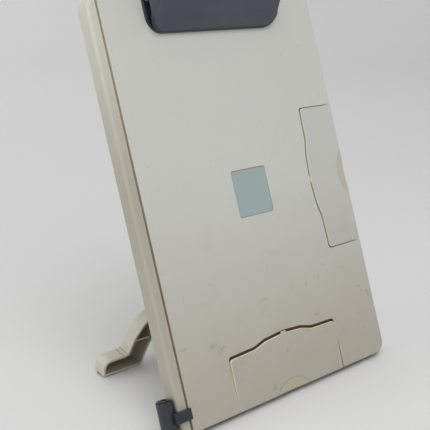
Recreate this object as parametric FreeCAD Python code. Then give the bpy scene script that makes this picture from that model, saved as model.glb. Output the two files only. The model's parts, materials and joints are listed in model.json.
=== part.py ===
import FreeCAD, Part
import os
from math import cos, radians, sin, tan

from FreeCAD import Placement, Rotation, Vector

# A desktop copyholder: a slim hollow board that leans back on a folding easel leg, with a sprung
# clip at the top, two fold-out page flaps and a line-guide slider on its left rail.
#
# All sizes are millimetres. Every piece is drawn in the board frame: x to the right, y up the
# board and z out of its front face, with y = 0 at the bottom edge and z = 0 on the front face.
# The last step leans the board back and puts the origin under the middle of the whole object.

# Board
BOARD_LEFT = -115.5
BOARD_RIGHT = 118.0
BOARD_HEIGHT = 322.0
BOARD_THICK = 13.0
BOARD_CORNER_R = 10.0
WALL = 2.0
FLOOR_Z = WALL - BOARD_THICK
BACK_EDGE_R = 2.0
LEAN = 18.8
FRONT_EDGE_HEIGHT = 4.3

# Front panel, and the rail and slot to its left
PANEL_THICK = 2.5
PANEL_EDGE_R = 1.0
RAIL_WIDTH = 7.9
SLOT_WIDTH = 2.0
RAIL_LIP = 2.0
RAIL_RIGHT = BOARD_LEFT + RAIL_WIDTH
PANEL_LEFT = RAIL_RIGHT + SLOT_WIDTH
RIB_THICK = 1.2
RIB_DEPTH = 2.0
RIB_INSET = WALL + 0.15

# Label in its recess
LABEL_X = 3.3
LABEL_Y = 161.2
LABEL_RECESS = 37.5
LABEL_SIZE = 36.9
RECESS_DEPTH = 0.6
LABEL_THICK = 0.5

# Page flaps. A flap frame has a along the board's outer edge, b inwards from it and c = z.
FLAP_LENGTH = 120.4
FLAP_THICK = 1.8
FLAP_CORNER_R = 3.0
FLAP_EDGE_R = 0.7
FLAP_SIDE_GAP = 0.6
FLAP_FREE_GAP = 2.2
FLAP_AXIS = 4.0
FLAP_PIN_R = 1.0
FLAP_PIN_HALF = 50.0
KNUCKLE_R = 2.0
KNUCKLES = ((-43.0, -30.0), (30.0, 43.0))
PIN_POSTS = ((-49.0, -43.5), (-29.5, -24.0), (24.0, 29.5), (43.5, 49.0))
LEDGE_DEPTH = 40.8
LEDGE_X = 1.7
LEDGE_AJAR = 2.2
SIDE_DEPTH = 39.2
SIDE_Y = 160.6
TRAY_GAP = 0.4
TRAY_THICK = 1.2
TRAY_WALL = 1.5
TRAY_START = 7.5
SCOOP_HALF_CHORD = 19.2
SCOOP_REACH = 9.6
SCOOP_DEPTH = 1.3
NIB_LENGTH = 5.0
NIB_REACH = 1.5
NIB_ROOT = 4.0
NIB_Z = (-1.5, -0.4)
KNUCKLE_WEB_HALF = 1.4
CROWN_RISE = 5.5

# Slider on the rail: a tab in front, a shoe behind, and a barrel that holds the swivel socket
BARREL_X = BOARD_LEFT - 6.8
BARREL_Z = -5.5
BARREL_R = 5.9
BARREL_BORE_R = 4.55
BARREL_Y = (3.0, 28.8)
SLIT_WIDTH = 1.6
TAB_Y = (11.5, 19.6)
TAB_FRONT = 3.9
TAB_GAP = 0.35
TAB_EDGE_R = 0.7
WEB_X = (RAIL_RIGHT + 0.3, RAIL_RIGHT + 1.5)
ARM_X = (BOARD_LEFT - 5.5, BOARD_LEFT - 0.4)
ARM_LOW_Z = -8.5
BRIDGE_HALF = 3.0
SHOE_X = (BOARD_LEFT + WALL + 0.5, -101.5)
SHOE_Y = (8.0, 23.0)
SHOE_Z = (-8.2, -2.9)
SHOE_HOOK = 0.4
LEAF_THICK = 0.4
SOCKET_R = 4.5
SOCKET_BORE_R = 2.5
SOCKET_FLANGE_R = 5.6
SOCKET_COLLAR_R = 4.95

# Clip
CLIP_X = (-65.8, 67.8)
CLIP_Y = 291.8
CLIP_CORNER_R = 13.0
CLIP_BASE_TOP = 321.0
CLIP_BASE_THICK = 2.0
LIP_GAP = 0.3
LEVER_THICK = 2.4
LEVER_TOP = 334.0
CHEEK_THICK = 2.4
CHEEK_LOW_Z = 9.3
LEVER_EDGE_R = 1.4
PIVOT_Y = 318.5
PIVOT_Z = 7.0
CLIP_PIN_R = 1.5
EAR_THICK = 2.5
EAR_X = (CLIP_X[0] + 14.0, CLIP_X[0] + 34.0, CLIP_X[1] - 36.5, CLIP_X[1] - 16.5)
SPRING_COIL_R = 3.4
SPRING_COIL_BORE_R = 2.0
SPRING_WIRE_R = 0.6
SPRING_LENGTH = 14.0
SPRING_STILL_END = (301.0, 2.8)
SPRING_MOVING_END = (327.0, 21.2)
CLIP_SCREW_XY = ((-40.0, 306.0), (-10.0, 306.0), (12.0, 306.0), (42.0, 306.0))

# Easel leg. The leg frame has y along the leg from its sole and z = 0 on its front rim.
LEG_LEAN = 15.3
LEG_DEPTH = 13.0
LEG_WALL = 2.0
LEG_EDGE_R = 2.0
LEG_RIB = 1.5
LEG_AXIS_DEPTH = 6.0
LEG_HEAD = 7.0
STEM_HALF = 22.0
LEG_BARREL_R = 5.2
LEG_PIN_R = 2.0
LEG_PIN_HALF = 33.0
LEG_GAP = 0.3
HINGE_Y = 208.0
HINGE_Z = -BOARD_THICK - 1.3
POCKET_CLEAR = 1.5
POCKET_FLOOR_Z = HINGE_Z + LEG_AXIS_DEPTH + LEG_GAP
POCKET_FLOOR_THICK = 1.4
POCKET_WALL = 1.5
POCKET_SOLE_Y = 4.1
SOLE_LIFT = 0.8
SOLE_PAD_X = (66.0, 90.0)
SADDLE_X = (23.5, 33.0)
SADDLE_HALF = 7.5
CAP_DEPTH = 4.8
CAP_SCREW_OFFSET = 4.9
CAP_SCREW_SEAT = 2.5
FOOT_RIB_X = (40.0, 70.0)
FOOT_RIB_Y = 24.2
STEM_RIB_X = (-30.0, 30.0)
STEM_RIB_Y = (66.0, 110.0, 150.0)
RIB_FRONT = -2.5

# Fixings and fits
RUNNING_GAP = 0.06
SHELL_SCREW_XY = (
    (-96.0, 36.0), (98.0, 36.0), (-96.0, 161.0), (70.0, 161.0), (-96.0, 306.0), (102.0, 306.0),
)
SHELL_SCREW_R = 1.25
SHELL_BOSS_R = 3.2
SCREW_HEAD_R = 2.8
SCREW_HEAD_HEIGHT = 1.2
SMALL_SCREW_R = 1.0
SMALL_HEAD_R = 1.9
BOARD_PAD_X = ((-102.0, -78.0), (78.0, 102.0))
BOARD_PAD_Z = (1.0 - BOARD_THICK, 4.4 - BOARD_THICK)
BOARD_PAD_INSET = 1.0

X_AXIS = Vector(1, 0, 0)
Y_AXIS = Vector(0, 1, 0)
Z_AXIS = Vector(0, 0, 1)
BOARD_TO_DESK = Placement(Vector(0, 0, FRONT_EDGE_HEIGHT), Rotation(X_AXIS, 90 - LEAN))
LEG_FOLD = LEAN + LEG_LEAN
HINGE_HEIGHT = HINGE_Y * cos(radians(LEAN)) + HINGE_Z * sin(radians(LEAN)) + FRONT_EDGE_HEIGHT
LEG_REACH = (HINGE_HEIGHT - LEG_AXIS_DEPTH * sin(radians(LEG_LEAN)) - SOLE_LIFT) / cos(radians(LEG_LEAN))


# Drawing helpers

def block(x, y, z):
    """A box from pairs of low and high values."""
    return Part.makeBox(x[1] - x[0], y[1] - y[0], z[1] - z[0], Vector(x[0], y[0], z[0]))


def rod(start, end, radius):
    """A round bar between two points."""
    line = end - start
    return Part.makeCylinder(radius, line.Length, start, line)


def rounded_face(corners):
    """A flat face in the xy plane. A corner is (x, y, radius)."""
    points = [Vector(x, y, 0) for x, y, _ in corners]
    bends = []
    for i, (_, _, radius) in enumerate(corners):
        here = points[i]
        back = (points[i - 1] - here).normalize()
        ahead = (points[(i + 1) % len(points)] - here).normalize()
        half_angle = back.getAngle(ahead) / 2
        if radius == 0:
            bends.append((here, None, here))
            continue
        setback = radius / tan(half_angle)
        inward = (back + ahead).normalize()
        nearest = here + inward * (radius / sin(half_angle) - radius)
        bends.append((here + back * setback, nearest, here + ahead * setback))
    edges = []
    for i, (start, middle, end) in enumerate(bends):
        if middle is not None:
            edges.append(Part.Arc(start, middle, end).toShape())
        following = bends[(i + 1) % len(bends)][0]
        if end.distanceToPoint(following) > 1e-4:
            edges.append(Part.LineSegment(end, following).toShape())
    return Part.Face(Part.Wire(edges))


def prism(corners, z):
    """A rounded outline in the xy plane, raised from z[0] to z[1]."""
    face = rounded_face(corners)
    face.translate(Vector(0, 0, z[0]))
    return face.extrude(Vector(0, 0, z[1] - z[0]))


def rectangle(x, y, radius):
    """The corners of a rounded rectangle."""
    return [(x[0], y[0], radius), (x[1], y[0], radius), (x[1], y[1], radius), (x[0], y[1], radius)]


def side_prism(corners, x):
    """An outline of (y, z, radius) corners, drawn across the board from x[0] to x[1]."""
    face = rounded_face(corners)
    face.rotate(Vector(0, 0, 0), Vector(1, 1, 1), 120)
    face.translate(Vector(x[0], 0, 0))
    return face.extrude(Vector(x[1] - x[0], 0, 0))


def strip_corners(path, thickness):
    """Corners of a bent strip: path is its upper side, and the strip lies to its right."""
    points = [Vector(y, z, 0) for y, z, _ in path]
    normals = []
    for start, end in zip(points, points[1:]):
        along = (end - start).normalize()
        normals.append(Vector(along.y, -along.x, 0))
    lower = [(points[0] + normals[0] * thickness, path[0][2])]
    for i in range(1, len(points) - 1):
        mitre = (normals[i - 1] + normals[i]).normalize()
        reach = thickness / mitre.dot(normals[i])
        turn = normals[i - 1].cross(normals[i]).z
        radius = path[i][2] + (thickness if turn > 0 else -thickness)
        lower.append((points[i] + mitre * reach, max(radius, 0.0)))
    lower.append((points[-1] + normals[-1] * thickness, path[-1][2]))
    return list(path) + [(point.x, point.y, radius) for point, radius in reversed(lower)]


def edges_where(shape, test):
    """The edges of a shape whose middle point passes a test."""
    return [edge for edge in shape.Edges if test(edge.CenterOfMass)]


def group(solids):
    """Separate solids kept in one node."""
    return Part.makeCompound(solids)


def in_flap_frame(shape, side):
    """Carries a shape from the flap frame to the bottom or the right edge of the board."""
    placed = shape.copy()
    if side:
        placed.rotate(Vector(0, 0, 0), Z_AXIS, 90)
        placed.translate(Vector(BOARD_RIGHT, SIDE_Y, 0))
    else:
        placed.translate(Vector(LEDGE_X, 0, 0))
    return placed


def fold_leg(shape):
    """Carries a shape from the leg frame to the folded leg, flat in the back of the board."""
    placed = shape.copy()
    placed.translate(Vector(0, HINGE_Y - LEG_REACH, HINGE_Z + LEG_AXIS_DEPTH))
    return placed


def open_leg(shape):
    """Carries a shape from the leg frame to the leg as it stands on the desk."""
    placed = fold_leg(shape)
    placed.rotate(Vector(0, HINGE_Y, HINGE_Z), X_AXIS, LEG_FOLD)
    return placed


def below_desk():
    """The space under the desk's surface, in the board frame."""
    space = Part.makeBox(400, 400, 30, Vector(-200, -100, -30))
    space.Placement = BOARD_TO_DESK.inverse().multiply(space.Placement)
    return space


# Outlines

def board_outline(inset=0.0):
    radius = BOARD_CORNER_R - inset
    return rectangle((BOARD_LEFT + inset, BOARD_RIGHT - inset), (inset, BOARD_HEIGHT - inset), radius)


def flap_outline(depth, side_gap=0.0, free_gap=0.0, start=-1.0):
    """The wavy outline of a flap: square shoulders and a crowned middle."""
    half = FLAP_LENGTH / 2 + side_gap
    shoulder = depth + free_gap
    half_wave = [(33.0, shoulder + 0.8, 12.0), (21.0, shoulder + 4.0, 14.0)]
    right = [(half, shoulder, FLAP_CORNER_R)] + half_wave
    left = [(-x, y, radius) for x, y, radius in reversed(right)]
    crown = [(0.0, shoulder + CROWN_RISE, 70.0)]
    return [(-half, start, 0.0), (half, start, 0.0)] + right + crown + left


def leg_outline():
    """The anchor-shaped outline of the leg: a stem, a crown and two splayed feet."""
    half = [
        (STEM_HALF, LEG_REACH + LEG_HEAD, 3.0),
        (25.0, 66.0, 24.0),
        (33.0, 52.5, 12.0),
        (54.5, 47.0, 26.0),
        (65.5, 29.5, 30.0),
        (69.8, 15.2, 4.0),
        (92.5, 15.2, 6.0),
        (93.6, 7.0, 8.0),
        (93.0, 0.0, 1.5),
        (52.7, 0.0, 1.5),
        (50.6, 10.0, 25.0),
        (43.0, 33.0, 20.0),
    ]
    return half + [(-x, y, radius) for x, y, radius in reversed(half)]


# Board shells

def panel_blank(thick):
    """The plate right of the slot, with its outer front edges rounded."""
    outline = [
        (PANEL_LEFT, 0.0, 0.0),
        (BOARD_RIGHT, 0.0, BOARD_CORNER_R),
        (BOARD_RIGHT, BOARD_HEIGHT, BOARD_CORNER_R),
        (PANEL_LEFT, BOARD_HEIGHT, 0.0),
    ]
    blank = prism(outline, (-thick, 0.0))
    front = edges_where(blank, lambda p: abs(p.z) < 0.01 and p.x > PANEL_LEFT + 0.01)
    return blank.makeFillet(PANEL_EDGE_R, front)


def panel_ribs():
    """Short upright ribs that locate the panel inside the rear shell's walls."""
    low = -PANEL_THICK - RIB_DEPTH
    right = BOARD_RIGHT - RIB_INSET
    top = BOARD_HEIGHT - RIB_INSET
    return [
        block((right - RIB_THICK, right), (14.0, 92.0), (low, -PANEL_THICK)),
        block((right - RIB_THICK, right), (230.0, 308.0), (low, -PANEL_THICK)),
        block((-98.0, 103.0), (top - RIB_THICK, top), (low, -PANEL_THICK)),
    ]


def flap_tray(depth):
    """The shallow floor behind a flap, with the wall that hangs it from the panel."""
    low = -FLAP_THICK - TRAY_GAP - TRAY_THICK
    floor_top = -FLAP_THICK - TRAY_GAP
    grown = flap_outline(depth, FLAP_SIDE_GAP + TRAY_WALL, FLAP_FREE_GAP + TRAY_WALL, TRAY_START)
    return prism(grown, (low, floor_top))


def front_panel():
    panel = panel_blank(PANEL_THICK)
    for side, depth in ((False, LEDGE_DEPTH), (True, SIDE_DEPTH)):
        opening = flap_outline(depth, FLAP_SIDE_GAP, FLAP_FREE_GAP)
        panel = panel.cut(in_flap_frame(prism(opening, (-PANEL_THICK - 1, 1.0)), side))
        panel = panel.fuse(in_flap_frame(flap_tray(depth), side))
    panel = panel.fuse(panel_ribs())
    half = LABEL_RECESS / 2
    square = rectangle((LABEL_X - half, LABEL_X + half), (LABEL_Y - half, LABEL_Y + half), 1.8)
    panel = panel.cut(prism(square, (-RECESS_DEPTH, 1.0)))
    for x, y in SHELL_SCREW_XY:
        boss = rod(Vector(x, y, FLOOR_Z), Vector(x, y, -PANEL_THICK + 0.5), SHELL_BOSS_R)
        hole = rod(Vector(x, y, FLOOR_Z - 1), Vector(x, y, -PANEL_THICK), SHELL_SCREW_R)
        panel = panel.fuse(boss).cut(hole)
    for x, y in CLIP_SCREW_XY:
        boss = rod(Vector(x, y, -6.0), Vector(x, y, -PANEL_THICK + 0.5), SHELL_BOSS_R)
        hole = rod(Vector(x, y, -5.5), Vector(x, y, 1.0), SMALL_SCREW_R)
        panel = panel.fuse(boss).cut(hole)
    return panel.removeSplitter()


def leg_pocket(clear, z):
    """The leg's outline in the back of the board, grown by a clearance."""
    face = fold_leg(rounded_face(leg_outline()).makeOffset2D(clear))
    face.translate(Vector(0, 0, z[0] - face.BoundBox.ZMin))
    pocket = face.extrude(Vector(0, 0, z[1] - z[0]))
    low, high = SOLE_PAD_X
    for x in ((low, high), (-high, -low)):
        slot = (x[0] - clear, x[1] + clear)
        pocket = pocket.fuse(block(slot, (POCKET_SOLE_Y - clear, 10.0), z))
    return pocket


def pin_posts():
    """Posts on the shell's floor that hold the flap pins."""
    posts = []
    for low, high in PIN_POSTS:
        y = (FLAP_AXIS - KNUCKLE_R, FLAP_AXIS + KNUCKLE_R)
        foot = block((low, high), y, (FLOOR_Z - 0.5, -FLAP_AXIS))
        posts.append(foot.fuse(flap_line((low, high), KNUCKLE_R)))
    return group(posts)


def flap_line(x, radius):
    """A round bar on a flap's hinge line, in the flap frame."""
    return rod(Vector(x[0], FLAP_AXIS, -FLAP_AXIS), Vector(x[1], FLAP_AXIS, -FLAP_AXIS), radius)


def flap_pin():
    return flap_line((-FLAP_PIN_HALF, FLAP_PIN_HALF), FLAP_PIN_R)


def leg_pin():
    return rod(Vector(-LEG_PIN_HALF, HINGE_Y, HINGE_Z), Vector(LEG_PIN_HALF, HINGE_Y, HINGE_Z), LEG_PIN_R)


def rear_shell():
    blank = prism(board_outline(), (-BOARD_THICK, 0.0))
    blank = blank.makeFillet(BACK_EDGE_R, edges_where(blank, lambda p: p.z < -BOARD_THICK + 0.01))
    blank = blank.makeFillet(PANEL_THICK - 0.001, edges_where(blank, lambda p: p.z > -0.01))
    shell = blank.cut(prism(board_outline(WALL), (FLOOR_Z, -RAIL_LIP)))
    shell = shell.cut(block((RAIL_RIGHT, BOARD_RIGHT + 1), (-1.0, BOARD_HEIGHT + 1), (-PANEL_THICK, 1.0)))
    pan = leg_pocket(POCKET_CLEAR + POCKET_WALL, (FLOOR_Z - 0.5, POCKET_FLOOR_Z + POCKET_FLOOR_THICK))
    shell = shell.fuse(pan)
    for x in (SADDLE_X, (-SADDLE_X[1], -SADDLE_X[0])):
        shell = shell.fuse(block(x, (HINGE_Y - SADDLE_HALF, HINGE_Y + SADDLE_HALF), (HINGE_Z, FLOOR_Z - 0.5)))
    shell = shell.cut(leg_pocket(POCKET_CLEAR, (-BOARD_THICK - 2, POCKET_FLOOR_Z)))
    half = FLAP_LENGTH / 2 + FLAP_SIDE_GAP
    for side in (False, True):
        notch = block((-half, half), (-1.0, WALL + 0.01), (FLOOR_Z, 1.0))
        shell = shell.cut(in_flap_frame(notch, side))
        shell = shell.fuse(in_flap_frame(pin_posts(), side))
        shell = shell.cut(in_flap_frame(flap_pin(), side))
    shell = shell.cut(leg_pin())
    for x, y in SHELL_SCREW_XY:
        hole = rod(Vector(x, y, -BOARD_THICK - 1), Vector(x, y, FLOOR_Z + 1), SHELL_SCREW_R + 0.2)
        seat_top = Vector(x, y, SCREW_HEAD_HEIGHT + 0.1 - BOARD_THICK)
        seat = rod(Vector(x, y, -BOARD_THICK - 1), seat_top, SCREW_HEAD_R + 0.3)
        shell = shell.cut([hole, seat])
    for x, y in cap_screw_places():
        shell = shell.cut(rod(Vector(x, y, HINGE_Z - 1), Vector(x, y, FLOOR_Z + 0.5), SMALL_SCREW_R))
    for x in BOARD_PAD_X:
        shell = shell.cut(block(x, (-1.0, BOARD_PAD_INSET), BOARD_PAD_Z))
    return shell.removeSplitter()


def label_plate():
    half = LABEL_SIZE / 2
    square = rectangle((LABEL_X - half, LABEL_X + half), (LABEL_Y - half, LABEL_Y + half), 1.5)
    return prism(square, (-RECESS_DEPTH, LABEL_THICK - RECESS_DEPTH))


def board_foot_pads():
    """Rubber strips let into the bottom wall, cut level with the desk."""
    desk = below_desk()
    return group([block(x, (-3.0, BOARD_PAD_INSET), BOARD_PAD_Z).cut(desk) for x in BOARD_PAD_X])


def shell_screws():
    """Self-tapping screws that hold the two shells together from the back."""
    solids = []
    for x, y in SHELL_SCREW_XY:
        seat = SCREW_HEAD_HEIGHT + 0.1 - BOARD_THICK
        solids.append(screw(Vector(x, y, seat), Z_AXIS, SCREW_HEAD_R, SCREW_HEAD_HEIGHT, SHELL_SCREW_R, 6.0))
    return group(solids)


def screw(seat, direction, head_r, head_height, shank_r, length):
    """A pan-head screw with a crossed recess. The seat is the underside of its head."""
    back = direction * -head_height
    head = Part.makeCylinder(head_r, head_height, seat + back, direction)
    far_rim = edges_where(head, lambda p: (p - (seat + back)).Length < 0.01)
    head = head.makeFillet(head_height * 0.4, far_rim)
    shank = Part.makeCylinder(shank_r, length, seat, direction)
    body = head.fuse(shank).removeSplitter()
    arm = head_r * 0.55
    wide = head_r * 0.14
    deep = head_height * 0.6
    cross = [block((-arm, arm), (-wide, wide), (-0.1, deep)), block((-wide, wide), (-arm, arm), (-0.1, deep))]
    for bar in cross:
        bar.Placement = Placement(seat + back, Rotation(Z_AXIS, direction))
    return body.cut(cross)


# Page flaps

def scoop_cutter():
    """The sphere that leaves a shallow thumb scoop in a flap's outer edge."""
    rim_r = (SCOOP_HALF_CHORD ** 2 + SCOOP_REACH ** 2) / (2 * SCOOP_REACH)
    centre_b = SCOOP_REACH - rim_r
    height = (rim_r ** 2 - centre_b ** 2 - SCOOP_DEPTH ** 2) / (2 * SCOOP_DEPTH)
    sphere_r = (rim_r ** 2 + height ** 2) ** 0.5
    return Part.makeSphere(sphere_r, Vector(0, centre_b, height))


def page_flap(depth, side):
    """A flap with its edges eased, thumb scoop, snap nib and two hinge knuckles."""
    plate = in_flap_frame(prism(flap_outline(depth), (-FLAP_THICK, 1.0)), side)
    plate = plate.common(panel_blank(FLAP_THICK))
    front = edges_where(plate, lambda p: abs(p.z) < 0.01)
    plate = ease_free_edges(plate, front, side)
    crown = depth + CROWN_RISE
    nib = block((-NIB_LENGTH / 2, NIB_LENGTH / 2), (crown - NIB_ROOT, crown + NIB_REACH), NIB_Z)
    cutters = [in_flap_frame(scoop_cutter(), side)]
    plate = plate.fuse(in_flap_frame(nib, side)).cut(cutters)
    for low, high in KNUCKLES:
        web_y = (FLAP_AXIS - KNUCKLE_WEB_HALF, FLAP_AXIS + KNUCKLE_WEB_HALF)
        web = block((low, high), web_y, (-FLAP_AXIS, 0.3 - FLAP_THICK))
        plate = plate.fuse(in_flap_frame(web.fuse(flap_line((low, high), KNUCKLE_R)), side))
    bore = flap_line((-FLAP_PIN_HALF, FLAP_PIN_HALF), FLAP_PIN_R + RUNNING_GAP)
    return plate.cut(in_flap_frame(bore, side)).removeSplitter()


def page_ledge_flap():
    """The bottom flap, which rests a little ajar."""
    flap = page_flap(LEDGE_DEPTH, False)
    flap.rotate(Vector(0, FLAP_AXIS, -FLAP_AXIS), X_AXIS, LEDGE_AJAR)
    return flap


def ease_free_edges(plate, front, side):
    """Rounds the front edges of a flap that aren't part of the board's own edge."""
    if side:
        free = [edge for edge in front if edge.CenterOfMass.x < BOARD_RIGHT - PANEL_EDGE_R - 0.1]
    else:
        free = [edge for edge in front if edge.CenterOfMass.y > PANEL_EDGE_R + 0.1]
    return plate.makeFillet(FLAP_EDGE_R, free)


# Slider

def slider_body():
    """Barrel, side arm, front tab and the web that runs in the slot."""
    barrel_axis = (Vector(BARREL_X, BARREL_Y[0], BARREL_Z), Vector(BARREL_X, BARREL_Y[1], BARREL_Z))
    barrel = rod(*barrel_axis, BARREL_R)
    arm = block(ARM_X, TAB_Y, (ARM_LOW_Z, TAB_FRONT - 1.0))
    tab = block((ARM_X[0], WEB_X[1]), TAB_Y, (TAB_GAP, TAB_FRONT))
    tab = tab.makeFillet(TAB_EDGE_R, edges_where(tab, lambda p: abs(p.z - TAB_FRONT) < 0.01))
    bridge = block((BARREL_X, ARM_X[1]), TAB_Y, (BARREL_Z - BRIDGE_HALF, BARREL_Z + BRIDGE_HALF))
    web = block(WEB_X, TAB_Y, (SHOE_Z[0] + SHOE_HOOK, TAB_FRONT - 1.0))
    body = barrel.fuse([arm, tab, bridge, web])
    body = body.cut(rod(*barrel_axis, BARREL_BORE_R))
    slit = block((BARREL_X - SLIT_WIDTH / 2, BARREL_X + SLIT_WIDTH / 2), (0.0, 40.0), (0.0, BARREL_R + 1))
    slit.translate(Vector(0, 0, BARREL_Z))
    slit.rotate(barrel_axis[0], Y_AXIS, 35)
    return body.cut(slit).removeSplitter()


def slider_shoe():
    """The shoe that hooks the web behind the slot."""
    shoe = prism(rectangle(SHOE_X, SHOE_Y, 1.5), SHOE_Z)
    return shoe.cut(block(WEB_X, TAB_Y, (SHOE_Z[0] + SHOE_HOOK, 0.0)))


def slider_leaf_spring():
    """A bowed leaf under the shoe that bears on the shell's floor."""
    middle = (SHOE_Y[0] + SHOE_Y[1]) / 2
    low = FLOOR_Z + 0.2 + LEAF_THICK
    top = SHOE_Z[0]
    path = [(SHOE_Y[0] + 0.5, top, 0.0), (SHOE_Y[0] + 3.0, top, 2.0), (middle - 1.5, low, 3.0)]
    path += [(middle + 1.5, low, 3.0), (SHOE_Y[1] - 3.0, top, 2.0), (SHOE_Y[1] - 0.5, top, 0.0)]
    return side_prism(strip_corners(path, LEAF_THICK), (SHOE_X[0] + 2.0, SHOE_X[0] + 7.0))


def guide_socket():
    """The slit sleeve that swivels in the barrel and takes a line guide's pin."""
    def ring(y, radius):
        return rod(Vector(BARREL_X, y[0], BARREL_Z), Vector(BARREL_X, y[1], BARREL_Z), radius)

    flange_y = (BARREL_Y[0] - 1.3, BARREL_Y[0] - 0.3)
    collar_y = (BARREL_Y[1] + 0.3, BARREL_Y[1] + 1.1)
    sleeve = ring((flange_y[0], collar_y[1]), SOCKET_R)
    sleeve = sleeve.fuse([ring(flange_y, SOCKET_FLANGE_R), ring(collar_y, SOCKET_COLLAR_R)])
    sleeve = sleeve.cut(ring((flange_y[0] - 1, collar_y[1] + 1), SOCKET_BORE_R))
    slit_x = (BARREL_X - SLIT_WIDTH / 2, BARREL_X + SLIT_WIDTH / 2)
    slit = block(slit_x, (0.0, 40.0), (BARREL_Z, BARREL_Z + SOCKET_FLANGE_R + 1))
    return sleeve.cut(slit).removeSplitter()


# Clip

def clip_outline(top, inset=0.0):
    radius = CLIP_CORNER_R - inset
    return [
        (CLIP_X[0] + inset, CLIP_Y + inset, radius),
        (CLIP_X[1] - inset, CLIP_Y + inset, radius),
        (CLIP_X[1] - inset, top, 4.0),
        (CLIP_X[0] + inset, top, 4.0),
    ]


def pivot_line(x, radius):
    return rod(Vector(x[0], PIVOT_Y, PIVOT_Z), Vector(x[1], PIVOT_Y, PIVOT_Z), radius)


def ear_places():
    """The x range of each ear that carries the clip's pin."""
    return [(x, x + EAR_THICK) for x in EAR_X]


def clip_base():
    """The plate screwed to the panel, with four ears for the pin."""
    plate = prism(clip_outline(CLIP_BASE_TOP), (0.0, CLIP_BASE_THICK))
    plate = plate.makeFillet(0.6, edges_where(plate, lambda p: p.z > CLIP_BASE_THICK - 0.01))
    ear = [
        (PIVOT_Y - 6.5, CLIP_BASE_THICK - 0.5, 0.0),
        (PIVOT_Y + 2.5, CLIP_BASE_THICK - 0.5, 0.0),
        (PIVOT_Y + 3.0, PIVOT_Z + 3.0, 2.9),
        (PIVOT_Y - 3.0, PIVOT_Z + 3.0, 2.9),
    ]
    for x in ear_places():
        plate = plate.fuse(side_prism(ear, x))
    plate = plate.cut(pivot_line(CLIP_X, CLIP_PIN_R))
    for x, y in CLIP_SCREW_XY:
        plate = plate.cut(rod(Vector(x, y, -1), Vector(x, y, CLIP_BASE_THICK + 1), SMALL_SCREW_R + 0.15))
    return plate.removeSplitter()


def clip_base_screws():
    """Screws that fix the clip's plate to the panel, hidden under the lever."""
    solids = []
    for x, y in CLIP_SCREW_XY:
        seat = Vector(x, y, CLIP_BASE_THICK)
        solids.append(screw(seat, Z_AXIS * -1, SMALL_HEAD_R, 0.9, SMALL_SCREW_R, 7.0))
    return group(solids)


def clip_hinge_pin():
    return pivot_line((CLIP_X[0] + 0.3, CLIP_X[1] - 0.3), CLIP_PIN_R)


def clip_spring(mirrored):
    """A torsion spring: its coil on the pin, one arm on the plate and one under the lever."""
    low = EAR_X[3] - 1.0 - SPRING_LENGTH if mirrored else EAR_X[0] + EAR_THICK + 1.0
    high = low + SPRING_LENGTH
    coil = pivot_line((low, high), SPRING_COIL_R).cut(pivot_line((low - 1, high + 1), SPRING_COIL_BORE_R))
    ring = SPRING_COIL_R - SPRING_WIRE_R - 0.1
    still_x = low + SPRING_WIRE_R + 0.2
    moving_x = high - SPRING_WIRE_R - 0.2
    still = (Vector(still_x, PIVOT_Y, PIVOT_Z - ring), Vector(still_x, *SPRING_STILL_END))
    moving = (Vector(moving_x, PIVOT_Y + ring, PIVOT_Z), Vector(moving_x, *SPRING_MOVING_END))
    return coil.fuse([rod(*still, SPRING_WIRE_R), rod(*moving, SPRING_WIRE_R)]).removeSplitter()


def lever_path():
    """The outer face of the lever from its lip to its handle, as (y, z, radius)."""
    return [
        (CLIP_Y, CLIP_BASE_THICK + 0.9, 0.0),
        (299.5, 8.6, 14.0),
        (304.8, 11.2, 12.0),
        (318.0, 22.2, 16.0),
        (LEVER_TOP, 27.5, 0.0),
    ]


def on_lever_face(point):
    """Whether a point on the end of the lever lies nearer its outer face than its inner one."""
    for (y, z, _), (next_y, next_z, _) in zip(lever_path(), lever_path()[1:]):
        if y < point.y < next_y:
            outer_z = z + (next_z - z) * (point.y - y) / (next_y - y)
            return point.z > outer_z - LEVER_THICK / 2
    return False


def clip_lever():
    """The curved lever, with a cheek at each end that reaches back and down to the pin."""
    body = side_prism(strip_corners(lever_path(), LEVER_THICK), CLIP_X)
    rims = edges_where(body, lambda p: min(abs(p.x - x) for x in CLIP_X) < 0.01 and on_lever_face(p))
    body = body.makeFillet(LEVER_EDGE_R, rims)
    cheek = [
        (303.0, CHEEK_LOW_Z - 0.1, 0.0),
        (PIVOT_Y - 3.4, CHEEK_LOW_Z, 0.5),
        (PIVOT_Y - 3.4, PIVOT_Z - 3.2, 3.0),
        (PIVOT_Y + 3.4, PIVOT_Z - 3.2, 3.0),
        (325.0, 22.9, 0.0),
        (317.5, 19.8, 0.0),
    ]
    ends = ((CLIP_X[0], CLIP_X[0] + CHEEK_THICK), (CLIP_X[1] - CHEEK_THICK, CLIP_X[1]))
    body = body.fuse([side_prism(cheek, x) for x in ends])
    body = body.common(prism(clip_outline(LEVER_TOP + 1.0), (CLIP_BASE_THICK + LIP_GAP, 40.0)))
    body = body.cut(pivot_line((CLIP_X[0] - 1, CLIP_X[1] + 1), CLIP_PIN_R + RUNNING_GAP))
    return body.removeSplitter()


def clip_grip_strip():
    """The rubber strip under the lip that holds the page."""
    top = [(293.0, 2.4, 0.3), (298.0, 2.4, 0.3), (298.0, 4.9, 0.0), (294.2, 2.7, 0.0)]
    strip = side_prism(top, (CLIP_X[0] + 12.0, CLIP_X[1] - 12.0))
    return strip.cut(clip_lever())


# Easel leg

def cap_screw_places():
    """The x and y of the screws in the leg's bearing caps."""
    middle = sum(SADDLE_X) / 2
    return [(x, HINGE_Y + dy) for x in (-middle, middle) for dy in (-CAP_SCREW_OFFSET, CAP_SCREW_OFFSET)]


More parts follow.
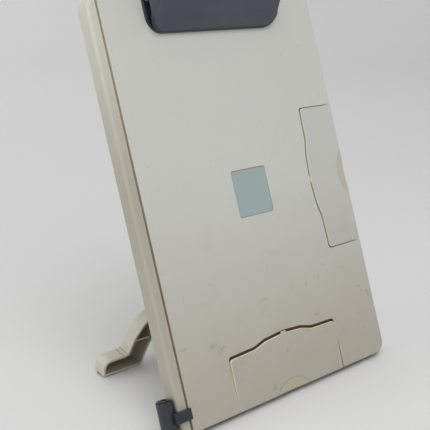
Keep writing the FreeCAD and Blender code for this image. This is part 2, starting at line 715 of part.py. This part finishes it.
def easel_leg():
    """The hollow leg, open to the front, with its hinge barrel and inner ribs."""
    outline = rounded_face(leg_outline())
    solid = outline.extrude(Vector(0, 0, -LEG_DEPTH))
    solid = solid.makeFillet(LEG_EDGE_R, edges_where(solid, lambda p: p.z < 0.01 - LEG_DEPTH))
    inner = outline.makeOffset2D(-LEG_WALL).extrude(Vector(0, 0, LEG_WALL - LEG_DEPTH))
    ribs = []
    low, high = FOOT_RIB_X
    for x in ((-high, -low), (low, high)):
        ribs.append(block(x, (FOOT_RIB_Y, FOOT_RIB_Y + LEG_RIB), (-LEG_DEPTH, RIB_FRONT)))
    for y in STEM_RIB_Y:
        ribs.append(block(STEM_RIB_X, (y, y + LEG_RIB), (-LEG_DEPTH, RIB_FRONT)))
    leg = solid.cut(inner)
    leg = leg.fuse([rib.common(solid) for rib in ribs])
    barrel_ends = (
        Vector(1.0 - STEM_HALF, LEG_REACH, -LEG_AXIS_DEPTH),
        Vector(STEM_HALF - 1.0, LEG_REACH, -LEG_AXIS_DEPTH),
    )
    leg = leg.fuse(rod(*barrel_ends, LEG_BARREL_R))
    reach = Vector(10, 0, 0)
    leg = leg.cut(rod(barrel_ends[0] - reach, barrel_ends[1] + reach, LEG_PIN_R + RUNNING_GAP))
    leg = open_leg(leg)
    stop_z = POCKET_FLOOR_Z - LEG_GAP
    heel = block((-40.0, 40.0), (HINGE_Y - 30, HINGE_Y + 30), (stop_z, stop_z + 20))
    return leg.cut(heel).removeSplitter()


def leg_foot_pads():
    """Rubber wedges under the feet, cut level with the desk."""
    desk = below_desk()
    low, high = SOLE_PAD_X
    pads = []
    for x in ((-high, -low), (low, high)):
        pads.append(open_leg(block(x, (-8.0, 0.0), (1.0 - LEG_DEPTH, -0.8))).cut(desk))
    return group(pads)


def leg_bearing_cap(mirrored):
    """The cap that clamps one end of the leg's pin against the shell."""
    x = (-SADDLE_X[1], -SADDLE_X[0] - 0.3) if mirrored else (SADDLE_X[0] + 0.3, SADDLE_X[1])
    y = (HINGE_Y - SADDLE_HALF, HINGE_Y + SADDLE_HALF)
    cap = block(x, y, (HINGE_Z - CAP_DEPTH, HINGE_Z))
    cap = cap.makeFillet(1.2, edges_where(cap, lambda p: p.z < HINGE_Z - CAP_DEPTH + 0.01))
    cap = cap.cut(leg_pin())
    for screw_x, screw_y in cap_screw_places():
        behind = Vector(screw_x, screw_y, -30)
        hole = rod(behind, Vector(screw_x, screw_y, 0), SMALL_SCREW_R + 0.15)
        seat = rod(behind, Vector(screw_x, screw_y, HINGE_Z - CAP_SCREW_SEAT), SMALL_HEAD_R + 0.2)
        cap = cap.cut([hole, seat])
    return cap


def leg_cap_screws():
    solids = []
    for x, y in cap_screw_places():
        seat = Vector(x, y, HINGE_Z - CAP_SCREW_SEAT)
        solids.append(screw(seat, Z_AXIS, SMALL_HEAD_R, 1.2, SMALL_SCREW_R, 5.0))
    return group(solids)


def leg_detent_spring():
    """A leaf on the pocket's floor that bears on the leg's barrel."""
    path = [
        (HINGE_Y - 17.0, POCKET_FLOOR_Z, 0.0),
        (HINGE_Y - 11.0, POCKET_FLOOR_Z, 3.0),
        (HINGE_Y - 6.0, POCKET_FLOOR_Z - 0.4, 3.0),
        (HINGE_Y - 1.0, POCKET_FLOOR_Z - 0.4, 0.0),
    ]
    return side_prism(strip_corners(path, LEAF_THICK), (-6.0, 6.0))


NODES = {
    "front_panel": front_panel,
    "rear_shell": rear_shell,
    "label_plate": label_plate,
    "board_foot_pads": board_foot_pads,
    "shell_screws": shell_screws,
    "clip_base": clip_base,
    "clip_base_screws": clip_base_screws,
    "clip_hinge_pin": clip_hinge_pin,
    "clip_spring_left": lambda: clip_spring(False),
    "clip_spring_right": lambda: clip_spring(True),
    "clip_lever": clip_lever,
    "clip_grip_strip": clip_grip_strip,
    "page_ledge_flap": page_ledge_flap,
    "ledge_hinge_pin": lambda: in_flap_frame(flap_pin(), False),
    "side_page_flap": lambda: page_flap(SIDE_DEPTH, True),
    "side_hinge_pin": lambda: in_flap_frame(flap_pin(), True),
    "slider_body": slider_body,
    "slider_shoe": slider_shoe,
    "slider_leaf_spring": slider_leaf_spring,
    "guide_socket": guide_socket,
    "easel_leg": easel_leg,
    "leg_foot_pads": leg_foot_pads,
    "leg_hinge_pin": leg_pin,
    "leg_bearing_cap_left": lambda: leg_bearing_cap(True),
    "leg_bearing_cap_right": lambda: leg_bearing_cap(False),
    "leg_cap_screws": leg_cap_screws,
    "leg_detent_spring": leg_detent_spring,
}


def stand_up(shapes):
    """Leans every piece back and moves the object's middle over the origin."""
    for shape in shapes.values():
        shape.Placement = BOARD_TO_DESK.multiply(shape.Placement)
    whole = Part.makeCompound(list(shapes.values())).optimalBoundingBox(False, False)
    centre = Vector(-(whole.XMin + whole.XMax) / 2, -(whole.YMin + whole.YMax) / 2, 0)
    for shape in shapes.values():
        shape.translate(centre)
    return centre


shapes = {name: build() for name, build in NODES.items()}
origin_shift = stand_up(shapes)
os.makedirs("parts", exist_ok=True)
for name, shape in shapes.items():
    shape.exportStep("parts/" + name + ".step")
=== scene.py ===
import json
from math import cos, pi, radians, sin

import bmesh
import bpy
from mathutils import Matrix, Vector


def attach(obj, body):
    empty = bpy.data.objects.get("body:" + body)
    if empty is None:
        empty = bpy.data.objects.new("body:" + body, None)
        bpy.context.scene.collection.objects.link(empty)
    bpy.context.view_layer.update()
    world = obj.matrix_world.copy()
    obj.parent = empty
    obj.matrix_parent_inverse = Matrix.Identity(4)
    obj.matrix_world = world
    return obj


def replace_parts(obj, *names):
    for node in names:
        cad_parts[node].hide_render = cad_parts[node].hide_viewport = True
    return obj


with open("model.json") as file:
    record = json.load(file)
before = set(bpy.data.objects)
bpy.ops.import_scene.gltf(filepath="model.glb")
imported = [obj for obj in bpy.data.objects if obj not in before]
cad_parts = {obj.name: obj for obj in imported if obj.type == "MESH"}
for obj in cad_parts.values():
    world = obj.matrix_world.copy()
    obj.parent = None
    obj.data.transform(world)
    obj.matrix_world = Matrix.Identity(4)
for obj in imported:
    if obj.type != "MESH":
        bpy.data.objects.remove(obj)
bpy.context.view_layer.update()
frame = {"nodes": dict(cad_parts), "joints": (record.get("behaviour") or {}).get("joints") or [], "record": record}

# A desktop copyholder on its easel leg. Places on it are given in the board frame, in millimetres:
# x to the right, y up the board, z out of its front face. BOARD carries them to the row frame.

nodes = frame["nodes"]
joints = {joint["name"]: joint for joint in frame["joints"]}
mounts = {mount["name"]: mount for mount in frame["record"]["mounts"]}

MM = 0.001
PAGE_MOUNT_HEIGHT = 100.0
RIGHT = Vector((1, 0, 0))
UP = Vector(joints["side_fold"]["axis"]).normalized()
OUT = Vector(mounts["page_face"]["axis"]).normalized()
ORIGIN = Vector(mounts["page_face"]["pos_m"]) - UP * PAGE_MOUNT_HEIGHT * MM
BOARD_LEAN = UP.angle(Vector((0, 0, 1)))
BOARD = Matrix.Translation(ORIGIN) @ Matrix((RIGHT, UP, OUT)).transposed().to_4x4() @ Matrix.Scale(MM, 4)


def board_box(node):
    """A CAD node's lowest and highest corners in the board frame."""
    to_board = BOARD.inverted()
    places = [to_board @ corner.co for corner in nodes[node].data.vertices]
    return [Vector([pick(values) for values in zip(*places)]) for pick in (min, max)]


def middle(node):
    low, high = board_box(node)
    return (low + high) / 2


PANEL_LOW, PANEL_HIGH = board_box("front_panel")
CLIP_LOW, CLIP_HIGH = board_box("clip_lever")
CLIP_CORNER_R = 13.0
LABEL_TOP = board_box("label_plate")[1].y
LEDGE_X = middle("page_ledge_flap").x
SIDE_Y = middle("side_page_flap").y
FLAP_HALF = board_box("page_ledge_flap")[1].x - LEDGE_X
# A flap's free edge stands FLAP_DEPTH from its hinge side, and CROWN_RISE more towards its middle: the
# rise begins and ends at the two distances from the middle in CROWN_SLOPE.
FLAP_DEPTH = {"ledge": 40.8, "side": 39.2}
CROWN_RISE = 5.0
CROWN_SLOPE = (38.0, 8.0)
SCOOP_R = 24.0
SCOOP_REACH = 9.6


# Colours

def rgb(red, green, blue):
    """An sRGB colour, 0 to 255, as the linear values that a shader takes."""
    def linear(value):
        value /= 255
        return value / 12.92 if value <= 0.04045 else ((value + 0.055) / 1.055) ** 2.4
    return (linear(red), linear(green), linear(blue), 1.0)


FRESH, AGED = rgb(203, 204, 198), rgb(177, 171, 158)
SIDE_FRESH = rgb(197, 197, 192)
REAR_FRESH, REAR_AGED = rgb(203, 202, 190), rgb(174, 170, 155)
LEG_FRESH, LEG_AGED = rgb(212, 208, 194), rgb(208, 203, 189)
SMUDGE, SCUFF, SPECK = rgb(112, 106, 96), rgb(104, 98, 88), rgb(100, 92, 80)
SCOOP_TAN, SCOOP_RIM = rgb(189, 178, 150), rgb(104, 96, 84)
# Painted highlight on the flaps' rounded edges, paler than the plastic.
PAINTED_EDGE_HIGHLIGHT = rgb(240, 232, 210)
# Painted shade along the board's lowest edge, where the contact shadow falls.
UNDERSIDE_SHADE = rgb(88, 80, 73)
# Dark lines across the leg's feet, the inner one painted shade along the bend.
FOOT_LINE_AND_BEND_SHADE = rgb(92, 84, 68)
# Dirt and painted shade in seams and flap gaps, and painted shade in the leg's hollow.
SEAM_DIRT_AND_SHADE, GAP_SHADE_AND_DIRT, HOLLOW_PAINTED_SHADE = rgb(126, 102, 70), rgb(92, 74, 50), rgb(168, 156, 139)
# Painted light on the slot's wall, brownish low down and paler than the plastic towards the top.
SLOT_PAINTED_LIGHT_LOW, SLOT_PAINTED_LIGHT_HIGH = rgb(196, 180, 155), rgb(243, 229, 198)
DUST = rgb(118, 118, 118)
LIP_SHADE = rgb(24, 26, 34)
# Painted shadow along the label's top edge, under the recess's edge.
LABEL_TOP_SHADOW = rgb(170, 148, 116)

# Marks on the plastic: noise scale, detail and roughness; the noise level where a mark starts and is
# full; the board heights between which its strength changes; its strength at each; its colour.
WEAR = (
    (30.0, 5.0, 0.62, (0.56, 0.74), (210.0, 40.0), (0.03, 0.11), SMUDGE),
    (125.0, 3.0, 0.55, (0.65, 0.74), (150.0, 60.0), (0.04, 0.26), SCUFF),
    (300.0, 2.0, 0.50, (0.735, 0.79), (150.0, 60.0), (0.30, 0.30), SPECK),
)
# Dark lines across the leg's feet, the inner one painted shade along the bend: distance from the leg's middle,
# half width, strength.
LEG_CREASES = ((74.5, 0.9, 0.45), (70.6, 0.8, 0.35))


# Materials

class Graph:
    """Adds nodes to one material and links them to its Principled shader."""

    def __init__(self, name):
        self.material = bpy.data.materials.new(name)
        self.material.use_nodes = True
        self.tree = self.material.node_tree
        self.shader = self.tree.nodes["Principled BSDF"]
        self.place = self.node("ShaderNodeTexCoord").outputs["Object"]
        self.colour = None

    def node(self, kind, inputs=None, **settings):
        made = self.tree.nodes.new(kind)
        for key, value in settings.items():
            setattr(made, key, value)
        for key, value in (inputs or {}).items():
            self.feed(made.inputs[key], value)
        return made

    def feed(self, socket, value):
        if isinstance(value, bpy.types.NodeSocket):
            self.tree.links.new(value, socket)
        else:
            socket.default_value = value

    def math(self, operation, a, b=0.0, clamp=False):
        made = self.node("ShaderNodeMath", {0: a, 1: b}, operation=operation, use_clamp=clamp)
        return made.outputs[0]

    def times(self, *factors):
        product = factors[0]
        for factor in factors[1:]:
            product = self.math("MULTIPLY", product, factor)
        return product

    def distance(self, a, b):
        """The length of a step of a one way and b the other."""
        return self.math("SQRT", self.math("ADD", self.math("POWER", a, 2.0), self.math("POWER", b, 2.0)))

    def noise(self, scale, detail=3.0, roughness=0.5, place=None):
        inputs = {"Vector": place or self.place, "Scale": scale, "Detail": detail, "Roughness": roughness}
        return self.node("ShaderNodeTexNoise", inputs).outputs["Fac"]

    def span(self, value, low, high, out_low=0.0, out_high=1.0):
        """Eases from out_low to out_high as the value goes from low to high."""
        inputs = {"Value": value, "From Min": low, "From Max": high, "To Min": out_low, "To Max": out_high}
        return self.node("ShaderNodeMapRange", inputs, interpolation_type="SMOOTHSTEP").outputs[0]

    def mix(self, factor, a, b):
        made = self.node("ShaderNodeMix", data_type="RGBA")
        for socket, value in ((0, factor), (6, a), (7, b)):
            self.feed(made.inputs[socket], value)
        return made.outputs[2]

    def tint(self, factor, colour):
        """Covers the colour so far with another, where factor says."""
        self.colour = self.mix(factor, self.colour, colour)

    def board_place(self):
        """The shaded point's x, y and z in the board frame."""
        inputs = {"Vector": self.place, "Location": ORIGIN, "Rotation": (pi / 2 - BOARD_LEAN, 0.0, 0.0)}
        inputs["Scale"] = (MM, MM, MM)
        turned = self.node("ShaderNodeMapping", inputs, vector_type="TEXTURE").outputs[0]
        split = self.node("ShaderNodeSeparateXYZ", {0: turned})
        return split.outputs[0], split.outputs[1], split.outputs[2]

    def normal(self):
        """The way the surface faces, in the piece's own axes."""
        return self.node("ShaderNodeTexCoord").outputs["Normal"]

    def finish(self, roughness, grain, strength, distance):
        """Links the colour, the roughness and the grain's bump, distance metres high. Gives the material."""
        self.feed(self.shader.inputs["Base Color"], self.colour)
        self.feed(self.shader.inputs["Roughness"], roughness)
        bump = self.node("ShaderNodeBump", {"Height": grain, "Strength": strength, "Distance": distance})
        self.feed(self.shader.inputs["Normal"], bump.outputs[0])
        return self.material


class MouldedAbs(Graph):
    """Fine-grained moulded plastic that yellows towards the desk, with marks, dirt, painted shade and painted
    highlights to add to it.
    """

    def __init__(self, name, fresh, aged, ageing=(200.0, -10.0)):
        """ageing is the board height where yellowing starts and where it is full."""
        super().__init__(name)
        self.x, self.y, self.z = self.board_place()
        self.clouds = self.noise(9.0, 4.0, 0.55)
        drift = self.times(self.math("SUBTRACT", self.clouds, 0.5), 0.30)
        age = self.math("ADD", self.span(self.y, *ageing), drift, clamp=True)
        self.colour = self.mix(age, fresh, aged)

    def flap_place(self, flap):
        """How far a point is along a flap from its middle, and inward from the flap's hinge side."""
        if flap == "ledge":
            return self.math("ABSOLUTE", self.math("SUBTRACT", self.x, LEDGE_X)), self.y
        along = self.math("ABSOLUTE", self.math("SUBTRACT", self.y, SIDE_Y))
        return along, self.math("SUBTRACT", PANEL_HIGH.x, self.x)

    def add_wear(self):
        """The marks in WEAR."""
        for scale, detail, roughness, levels, heights, strengths, colour in WEAR:
            marks = self.span(self.noise(scale, detail, roughness), *levels)
            self.tint(self.times(marks, self.span(self.y, *heights, *strengths)), colour)

    def add_scoop(self, flap):
        """The finger scoop at a flap's hinge side, tan with wear, and the thin line round it."""
        along, inward = self.flap_place(flap)
        distance = self.distance(along, self.math("SUBTRACT", inward, SCOOP_REACH - SCOOP_R))
        self.tint(self.span(distance, SCOOP_R + 0.4, SCOOP_R - 1.6, 0.0, 0.55), SCOOP_TAN)
        rim = self.math("ABSOLUTE", self.math("SUBTRACT", distance, SCOOP_R))
        self.tint(self.span(rim, 0.9, 0.1, 0.0, 0.22), SCOOP_RIM)

    def add_underside_shade(self):
        """Painted shade along the edge that stands nearest the desk, where the contact shadow falls."""
        self.tint(self.span(self.y, 0.9, 0.1, 0.0, 0.9), UNDERSIDE_SHADE)

    def add_gap_shade_and_dirt(self, flap):
        """Painted shade and dirt below the front face along the free edges of a flap's opening."""
        along, inward = self.flap_place(flap)
        depth = FLAP_DEPTH[flap]
        crown = self.span(along, *CROWN_SLOPE, depth, depth + CROWN_RISE)
        free_edge = self.span(self.math("SUBTRACT", inward, crown), -3.5, -2.0)
        end_edges = self.span(along, FLAP_HALF - 2.5, FLAP_HALF - 1.2)
        edges = self.math("MAXIMUM", free_edge, end_edges)
        beside = self.span(along, FLAP_HALF + 2.8, FLAP_HALF + 2.3)
        beyond = self.span(inward, depth + 12.0, depth + 11.0)
        sunk = self.span(self.z, -1.0, -1.7)
        self.tint(self.times(sunk, edges, beside, beyond), GAP_SHADE_AND_DIRT)

    def add_dirt_and_painted_shade(self, dirt_and_shade, reach, shut, clear, own_walls=False):
        """Dirt and painted shade where walls within reach, in metres, hide the surface, as ambient occlusion finds
        them.

        shut and clear are the share of open sky at which the darkening is full and gone.
        """
        gaps = self.node("ShaderNodeAmbientOcclusion", {"Distance": reach}, samples=12, only_local=own_walls)
        self.tint(self.span(gaps.outputs["AO"], clear, shut), dirt_and_shade)

    def add_slot_wall_painted_light(self):
        """The panel's wall along the rail's slot, with painted light: brownish low down, paler than the plastic
        towards the top.
        """
        wall = self.span(self.x, PANEL_LOW.x + 0.3, PANEL_LOW.x + 0.1)
        self.tint(wall, self.mix(self.span(self.y, 60.0, 300.0), SLOT_PAINTED_LIGHT_LOW, SLOT_PAINTED_LIGHT_HIGH))

    def add_painted_edge_highlight(self, flap):
        """A painted highlight on the rounded edges round a flap's front face, apart from its hinge side."""
        facing = self.node("ShaderNodeVectorMath", {0: self.normal(), 1: OUT}, operation="DOT_PRODUCT")
        turned = self.span(facing.outputs["Value"], 0.93, 0.6)
        above_underside = self.span(self.z, -1.75, -1.55)
        past_hinge_side = self.span(self.flap_place(flap)[1], 1.6, 2.0)
        self.tint(self.times(turned, above_underside, past_hinge_side, 0.85), PAINTED_EDGE_HIGHLIGHT)

    def add_foot_lines_and_bend_shade(self):
        """Dark lines across the upper faces of the leg's feet, the inner one painted shade along the bend."""
        lift = self.node("ShaderNodeSeparateXYZ", {0: self.normal()}).outputs[2]
        upward = self.span(lift, 0.3, 0.6)
        for place, half_width, strength in LEG_CREASES:
            off = self.math("ABSOLUTE", self.math("SUBTRACT", self.math("ABSOLUTE", self.x), place))
            self.tint(self.times(self.span(off, half_width, half_width * 0.3), upward, strength), FOOT_LINE_AND_BEND_SHADE)

    def done(self):
        self.shader.inputs["Specular IOR Level"].default_value = 0.35
        roughness = self.span(self.clouds, 0.2, 0.8, 0.40, 0.52)
        return self.finish(roughness, self.noise(2600.0, 2.0, 0.6), strength=0.12, distance=0.00012)


# Ambient-occlusion darkening: dirt and painted shade in the seams, painted shade in the leg's hollow.
SEAMS = {"dirt_and_shade": SEAM_DIRT_AND_SHADE, "reach": 0.004, "shut": 0.14, "clear": 0.50}
HOLLOW = {"dirt_and_shade": HOLLOW_PAINTED_SHADE, "reach": 0.030, "shut": 0.60, "clear": 0.86, "own_walls": True}


def panel_abs():
    plastic = MouldedAbs("panel_abs", FRESH, AGED)
    plastic.add_wear()
    plastic.add_underside_shade()
    plastic.add_gap_shade_and_dirt("ledge")
    plastic.add_gap_shade_and_dirt("side")
    plastic.add_dirt_and_painted_shade(**SEAMS)
    plastic.add_slot_wall_painted_light()
    return plastic.done()


def rear_abs():
    plastic = MouldedAbs("rear_abs", REAR_FRESH, REAR_AGED, ageing=(320.0, 160.0))
    plastic.add_wear()
    plastic.add_underside_shade()
    plastic.add_dirt_and_painted_shade(**SEAMS)
    return plastic.done()


def flap_abs(flap, fresh):
    plastic = MouldedAbs(flap + "_abs", fresh, AGED)
    plastic.add_scoop(flap)
    plastic.add_wear()
    plastic.add_underside_shade()
    plastic.add_dirt_and_painted_shade(**SEAMS)
    plastic.add_painted_edge_highlight(flap)
    return plastic.done()


def leg_abs():
    plastic = MouldedAbs("leg_abs", LEG_FRESH, LEG_AGED)
    plastic.add_wear()
    plastic.add_foot_lines_and_bend_shade()
    plastic.add_dirt_and_painted_shade(**HOLLOW)
    return plastic.done()


def satin_slate(name, colour, worn, gloss, rolled_lip=False):
    """Dark moulded plastic with a fine texture, slightly paler wear and specks of dust."""
    graph = Graph(name)
    clouds = graph.noise(30.0, 4.0, 0.6)
    graph.colour = graph.mix(graph.span(clouds, 0.35, 0.8), colour, worn)
    graph.tint(graph.span(graph.noise(420.0, 2.0, 0.5), 0.66, 0.76, 0.0, 0.35), DUST)
    if rolled_lip:
        shade_lip(graph)
    roughness = graph.span(clouds, 0.2, 0.8, gloss - 0.04, gloss + 0.08)
    return graph.finish(roughness, graph.noise(3000.0, 2.0, 0.6), strength=0.15, distance=0.0001)


def shade_lip(graph):
    """Darkens the clip's lower edge and round corners, where its face rolls over."""
    x, y = graph.board_place()[:2]
    off = graph.math("ABSOLUTE", graph.math("SUBTRACT", x, (CLIP_LOW.x + CLIP_HIGH.x) / 2))
    half = (CLIP_HIGH.x - CLIP_LOW.x) / 2
    across = graph.math("MAXIMUM", graph.math("SUBTRACT", off, half - CLIP_CORNER_R), 0.0)
    down = graph.math("MAXIMUM", graph.math("SUBTRACT", CLIP_LOW.y + CLIP_CORNER_R, y), 0.0)
    edge = graph.span(graph.distance(across, down), CLIP_CORNER_R - 1.5, CLIP_CORNER_R - 0.7)
    graph.tint(graph.times(edge, graph.span(y, 305.0, 300.0), 0.75), LIP_SHADE)


def label_film():
    """A tinted film with a painted tan shadow along its top edge, under the recess's edge."""
    graph = Graph("label_film")
    clouds = graph.noise(60.0, 4.0, 0.6)
    graph.colour = graph.mix(clouds, rgb(154, 171, 171), rgb(160, 176, 176))
    height = graph.board_place()[1]
    graph.tint(graph.span(height, LABEL_TOP - 1.1, LABEL_TOP - 0.5, 0.0, 0.8), LABEL_TOP_SHADOW)
    roughness = graph.span(clouds, 0.2, 0.8, 0.30, 0.42)
    return graph.finish(roughness, graph.noise(900.0, 2.0, 0.5), strength=0.05, distance=0.0001)


def black_rubber():
    graph = Graph("black_rubber")
    clouds = graph.noise(140.0, 4.0, 0.6)
    graph.colour = graph.mix(clouds, rgb(38, 38, 40), rgb(62, 61, 60))
    roughness = graph.span(clouds, 0.2, 0.8, 0.68, 0.85)
    return graph.finish(roughness, graph.noise(1800.0, 3.0, 0.6), strength=0.3, distance=0.0002)


def bare_metal(name, bright, dull, gloss):
    """Drawn or plated metal with fine lines along x."""
    graph = Graph(name)
    graph.shader.inputs["Metallic"].default_value = 1.0
    streaks = graph.node("ShaderNodeMapping", {"Vector": graph.place, "Scale": (0.05, 1.0, 1.0)}).outputs[0]
    lines = graph.noise(1500.0, 3.0, 0.6, streaks)
    graph.colour = graph.mix(lines, bright, dull)
    roughness = graph.span(lines, 0.2, 0.8, gloss - 0.06, gloss + 0.1)
    return graph.finish(roughness, lines, strength=0.12, distance=0.0001)


def pale_floor():
    graph = Graph("pale_floor")
    clouds = graph.noise(0.8, 3.0, 0.5)
    graph.colour = graph.mix(clouds, rgb(225, 225, 225), rgb(229, 229, 229))
    roughness = graph.span(clouds, 0.3, 0.7, 0.80, 0.88)
    return graph.finish(roughness, graph.noise(300.0, 2.0, 0.5), strength=0.05, distance=0.0002)


STEEL = bare_metal("drawn_steel", rgb(190, 190, 192), rgb(150, 150, 152), 0.32)
NODE_MATERIALS = {
    "front_panel": panel_abs(),
    "page_ledge_flap": flap_abs("ledge", FRESH),
    "side_page_flap": flap_abs("side", SIDE_FRESH),
    "easel_leg": leg_abs(),
    "clip_base": satin_slate("base_slate", rgb(38, 41, 48), rgb(46, 49, 56), 0.42),
}
SLOT_MATERIALS = {
    "shell": rear_abs(),
    "clip": satin_slate("clip_slate", rgb(62, 67, 79), rgb(70, 76, 87), 0.38, rolled_lip=True),
    "slider": satin_slate("slider_slate", rgb(43, 45, 52), rgb(52, 55, 62), 0.36),
    "label": label_film(),
    "rubber": black_rubber(),
    "steel": STEEL,
    "screw": bare_metal("zinc_plate", rgb(205, 202, 192), rgb(170, 168, 160), 0.36),
}
SHARP_ANGLE = radians(25)


def dress_cad_nodes():
    """Gives every CAD node its material, and smooth shading across its soft edges."""
    for subpart in frame["record"]["subparts"]:
        shown = nodes[subpart["node"]]
        slot_material = SLOT_MATERIALS[subpart["material_slot"]]
        shown.data.materials.clear()
        shown.data.materials.append(NODE_MATERIALS.get(subpart["node"], slot_material))
        shown.data.shade_smooth()
        shown.data.set_sharp_from_angle(angle=SHARP_ANGLE)
        even = shown.modifiers.new("even_normals", "WEIGHTED_NORMAL")
        even.keep_sharp = True


# Clip springs

PIN = middle("clip_hinge_pin")
COIL_R = 2.7
WIRE_R = 0.55
WIRE_PITCH = 1.25
END_GAP = 0.2
STEPS_PER_TURN = 28
STILL_END = (301.0, 2.8)
MOVING_END = (327.0, 21.2)
ARM_START = (-0.5, -0.25, 0.0)    # angles on the coil that the moving arm leaves it through


def wire(name, points, body):
    """A round steel wire through board-frame points."""
    curve = bpy.data.curves.new(name, "CURVE")
    curve.dimensions = "3D"
    curve.bevel_depth = WIRE_R * MM
    curve.bevel_resolution = 3
    curve.use_fill_caps = True
    spline = curve.splines.new("POLY")
    spline.points.add(len(points) - 1)
    for knot, place in zip(spline.points, points):
        knot.co = (*(BOARD @ Vector(place)), 1.0)
    piece = bpy.data.objects.new(name, curve)
    piece.data.materials.append(STEEL)
    bpy.context.scene.collection.objects.link(piece)
    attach(piece, body)
    return piece


def make_spring(node):
    """A torsion spring on the clip's pin: a close coil, a still arm on the plate and a moving arm."""
    def around_pin(x, angle):
        return (x, PIN.y + COIL_R * cos(angle), PIN.z + COIL_R * sin(angle))

    low, high = board_box(node)
    start_x = low.x + WIRE_R + END_GAP
    end_x = high.x - WIRE_R - END_GAP
    quarter_to_arm = 0.25
    turns = round((end_x - start_x) / WIRE_PITCH) + quarter_to_arm
    steps = int(turns * STEPS_PER_TURN)
    coil = [(start_x, *STILL_END)]
    for step in range(steps + 1):
        done = step / steps
        coil.append(around_pin(start_x + (end_x - start_x) * done, 2 * pi * turns * done - pi / 2))
    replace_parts(wire(node + "_coil", coil, "board"), node)
    arm = [around_pin(end_x, angle) for angle in ARM_START]
    wire(node + "_arm", arm + [(end_x, *MOVING_END)], "clip")


# Stage, lights and camera: places in metres, the lens and its sensor in millimetres

FLOOR_R = 2.6
SWEEP_R = 1.6
WALL_HEIGHT = 3.2
FLOOR_SIDES = 96
SWEEP_STEPS = 14
WORLD_STRENGTH = 0.53
LIGHTS = (    # name, place, target, size, power in watts
    ("front_softbox", (-0.6, -1.7, 1.6), (0.0, 0.0, 0.2), 1.6, 13.0),
    ("high_softbox", (-0.8, -1.0, 2.5), (0.0, 0.0, 0.1), 1.6, 16.5),
    ("left_fill", (-2.0, 0.5, 1.0), (0.0, 0.0, 0.1), 1.4, 10.0),
    ("backdrop_left", (0.3, 2.2, 2.4), (0.9, 3.9, 0.4), 2.0, 14.0),
    ("backdrop_right", (1.0, 1.2, 2.4), (2.6, 2.8, 0.3), 2.0, 3.0),
)
CAMERA_FROM_BOARD = Vector((-0.4997, -0.4463, 0.3220))
CAMERA_AZIMUTH = radians(-42.86)
CAMERA_ELEVATION = radians(14.95)
CAMERA_LENS = 76.6
CAMERA_SENSOR = 36.0


def make_stage():
    """A pale round floor that sweeps up into a backdrop on every side."""
    profile = [(FLOOR_R / 2, 0.0)]
    for step in range(SWEEP_STEPS + 1):
        angle = pi / 2 * step / SWEEP_STEPS
        profile.append((FLOOR_R + SWEEP_R * sin(angle), SWEEP_R * (1 - cos(angle))))
    profile.append((FLOOR_R + SWEEP_R, WALL_HEIGHT))
    mesh = bmesh.new()
    rings = []
    for radius, height in profile:
        angles = [2 * pi * side / FLOOR_SIDES for side in range(FLOOR_SIDES)]
        rings.append([mesh.verts.new((radius * cos(angle), radius * sin(angle), height)) for angle in angles])
    mesh.faces.new(rings[0])
    for inner, outer in zip(rings, rings[1:]):
        for side in range(FLOOR_SIDES):
            after = (side + 1) % FLOOR_SIDES
            mesh.faces.new((inner[side], outer[side], outer[after], inner[after]))
    data = bpy.data.meshes.new("studio_floor")
    mesh.to_mesh(data)
    mesh.free()
    data.shade_smooth()
    data.materials.append(pale_floor())
    floor = bpy.data.objects.new("studio_floor", data)
    bpy.context.scene.collection.objects.link(floor)


def make_lights():
    """Soft white discs, and an even white world that fills the shadows."""
    for name, place, target, size, power in LIGHTS:
        light = bpy.data.lights.new(name, "AREA")
        light.shape = "DISK"
        light.size = size
        light.energy = power
        lamp = bpy.data.objects.new(name, light)
        lamp.location = place
        lamp.rotation_mode = "QUATERNION"
        lamp.rotation_quaternion = (Vector(target) - Vector(place)).to_track_quat("-Z", "Y")
        bpy.context.scene.collection.objects.link(lamp)
    world = bpy.data.worlds.new("studio")
    world.use_nodes = True
    background = world.node_tree.nodes["Background"]
    background.inputs["Color"].default_value = (1.0, 1.0, 1.0, 1.0)
    background.inputs["Strength"].default_value = WORLD_STRENGTH
    bpy.context.scene.world = world
    bpy.context.scene.view_settings.view_transform = "Standard"


def make_camera():
    camera = bpy.data.cameras.new("camera")
    camera.lens = CAMERA_LENS
    camera.sensor_width = CAMERA_SENSOR
    seat = bpy.data.objects.new("camera", camera)
    flat = cos(CAMERA_ELEVATION)
    ahead = Vector((-sin(CAMERA_AZIMUTH) * flat, cos(CAMERA_AZIMUTH) * flat, -sin(CAMERA_ELEVATION)))
    seat.location = ORIGIN + CAMERA_FROM_BOARD
    seat.rotation_mode = "QUATERNION"
    seat.rotation_quaternion = ahead.to_track_quat("-Z", "Y")
    bpy.context.scene.collection.objects.link(seat)
    bpy.context.scene.camera = seat


make_camera()
make_stage()
make_lights()
dress_cad_nodes()
make_spring("clip_spring_left")
make_spring("clip_spring_right")
